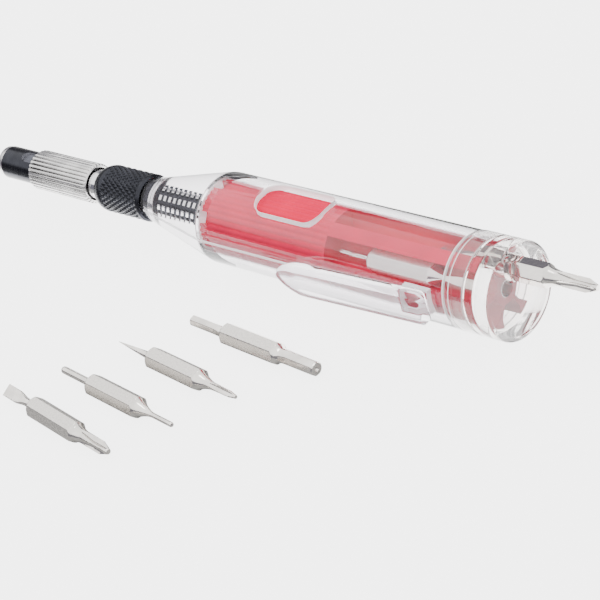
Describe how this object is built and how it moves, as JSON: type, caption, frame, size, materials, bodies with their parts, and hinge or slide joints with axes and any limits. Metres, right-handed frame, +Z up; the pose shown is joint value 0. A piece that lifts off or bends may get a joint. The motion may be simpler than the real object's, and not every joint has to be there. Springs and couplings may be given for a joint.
{
  "type": "pocket screwdriver",
  "caption": "Pen-shaped screwdriver with a clear handle, a thumb-turned drum of double-ended bits, a hole in the end cap that gives them out, and a sprung sleeve on the bit socket.",
  "frame": {"origin": "centre of the bit socket's mouth, on the axis of the screwdriver", "axes": "+X along the axis towards the end cap, +Z up, with the screwdriver lying on a table and its thumb window on top"},
  "size_m": [0.1551, 0.0619, 0.0182],
  "materials": {
    "clear_plastic": "gloss",
    "cap_plastic": "gloss",
    "red_plastic": "satin",
    "black_steel": "satin",
    "black_nut": "satin",
    "sleeve_metal": "satin",
    "bright_metal": "gloss",
    "spring_steel": "satin",
    "bit_steel": "satin"
  },
  "bodies": {
    "handle": {"handle_shell": "clear_plastic", "detent_ball": "bright_metal", "detent_spring": "spring_steel", "drive_shank": "black_steel", "shank_collar": "bright_metal", "neck_ring": "bright_metal", "socket_tube": "black_steel", "bit_leaf_spring": "spring_steel", "socket_magnet": "spring_steel", "sleeve_spring": "spring_steel"},
    "clip": {"pocket_clip": "clear_plastic"},
    "drum": {"bit_drum": "red_plastic", "stored_bit": "bit_steel"},
    "cap": {"end_cap": "cap_plastic"},
    "slid_bit": {"dispensed_bit": "bit_steel"},
    "nut": {"chuck_nut": "black_nut"},
    "sleeve": {"grip_sleeve": "sleeve_metal"},
    "loose_slotted": {"slotted_phillips_bit": "bit_steel"},
    "loose_pin": {"pin_bit": "bit_steel"},
    "loose_fine": {"fine_blade_bit": "bit_steel"},
    "loose_key": {"hex_key_bit": "bit_steel"}
  },
  "joints": [
    {"name": "drum_turn", "type": "hinge", "parent": "handle", "child": "drum", "pos_m": [0.1, 0, 0], "axis": [1, 0, 0], "continuous": true},
    {"name": "cap_turn", "type": "hinge", "parent": "handle", "child": "cap", "pos_m": [0.132, 0, 0], "axis": [1, 0, 0], "continuous": true},
    {"name": "bit_slide", "type": "slide", "parent": "drum", "child": "slid_bit", "axis": [1, 0, 0], "range_m": [-0.0227, 0.016]},
    {"name": "clip_flex", "type": "hinge", "parent": "handle", "child": "clip", "pos_m": [0.12065, -0.00815, 0.00203], "axis": [0, 0.2419, 0.9703], "range_deg": [0, 4], "stiffness_Nm_per_rad": 0.2},
    {"name": "nut_turn", "type": "hinge", "parent": "handle", "child": "nut", "pos_m": [0.038, 0, 0], "axis": [1, 0, 0], "continuous": true},
    {"name": "sleeve_slide", "type": "slide", "parent": "handle", "child": "sleeve", "axis": [1, 0, 0], "range_m": [0, 0.0024], "stiffness_N_per_m": 300, "springref_m": -0.003, "deforming": ["sleeve_spring"]},
    {"name": "lift_slotted", "type": "slide", "parent": "handle", "child": "loose_slotted", "axis": [0, 0, 1], "range_m": [0, 0.03]},
    {"name": "lift_pin", "type": "slide", "parent": "handle", "child": "loose_pin", "axis": [0, 0, 1], "range_m": [0, 0.03]},
    {"name": "lift_fine", "type": "slide", "parent": "handle", "child": "loose_fine", "axis": [0, 0, 1], "range_m": [0, 0.03]},
    {"name": "lift_key", "type": "slide", "parent": "handle", "child": "loose_key", "axis": [0, 0, 1], "range_m": [0, 0.03]}
  ],
  "couplings": [
    {"joint": "cap_turn", "follows": "drum_turn", "ratio": 1}
  ]
}
